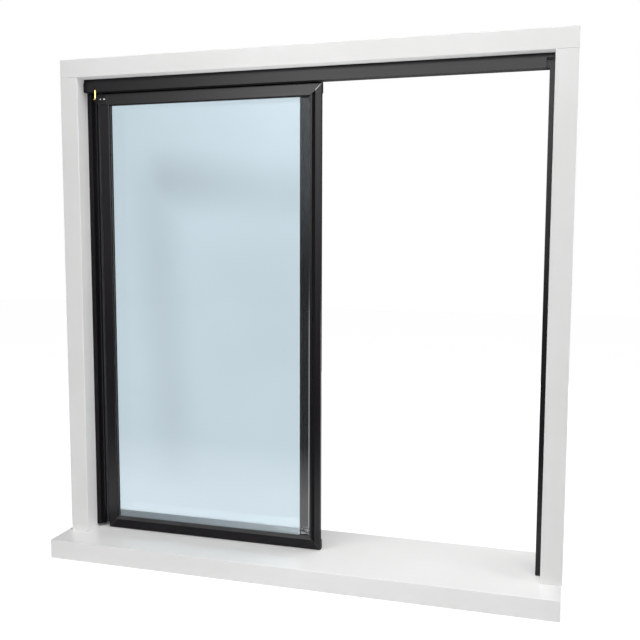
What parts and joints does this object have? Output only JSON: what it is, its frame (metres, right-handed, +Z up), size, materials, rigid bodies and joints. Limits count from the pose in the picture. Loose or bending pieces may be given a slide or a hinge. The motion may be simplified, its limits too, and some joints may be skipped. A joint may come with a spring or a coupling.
{
  "type": "sliding concession window",
  "caption": "Sliding serving window: dark frame with fixed and top-hung sliding glass, in a white casing over a counter shelf.",
  "frame": {"origin": "middle of the window's clear width and of the casing's depth, on the underside of the counter shelf", "axes": "+X to the right seen from the front, +Y from the front to the back, +Z up"},
  "size_m": [1.3335, 0.288, 1.337],
  "materials": {
    "casing": "satin white paint over board",
    "shelf": "glossy white counter",
    "frame": "dark bronze anodised, satin",
    "panel": "dark bronze anodised, satin",
    "glass": "clear tempered, faint blue",
    "gasket": "black vinyl",
    "pile": "black woven pile",
    "nylon": "moulded nylon",
    "guide": "black moulded nylon",
    "steel": "zinc plated steel",
    "brass": "drawn brass"
  },
  "bodies": {
    "root": {"counter_shelf": "shelf", "left_casing_board": "casing", "right_casing_board": "casing", "head_casing_board": "casing", "header_track": "frame", "left_jamb": "frame", "right_jamb": "frame", "fixed_sill_channel": "frame", "meeting_stile": "frame", "sliding_trailing_stile": "panel", "sliding_lead_stile": "panel", "sliding_top_rail": "panel", "sliding_bottom_rail": "panel", "sliding_glass": "glass", "fixed_glass": "glass", "sliding_front_gasket": "gasket", "sliding_back_gasket": "gasket", "fixed_front_gasket": "gasket", "fixed_back_gasket": "gasket", "fixed_setting_blocks": "gasket", "jamb_bumper": "gasket", "strike_pile": "pile", "meeting_pile": "pile", "left_hanger": "steel", "right_hanger": "steel", "left_hanger_wheels": "nylon", "right_hanger_wheels": "nylon", "bottom_guide": "guide", "latch_plate": "frame", "latch_pin": "brass"}
  },
  "joints": []
}
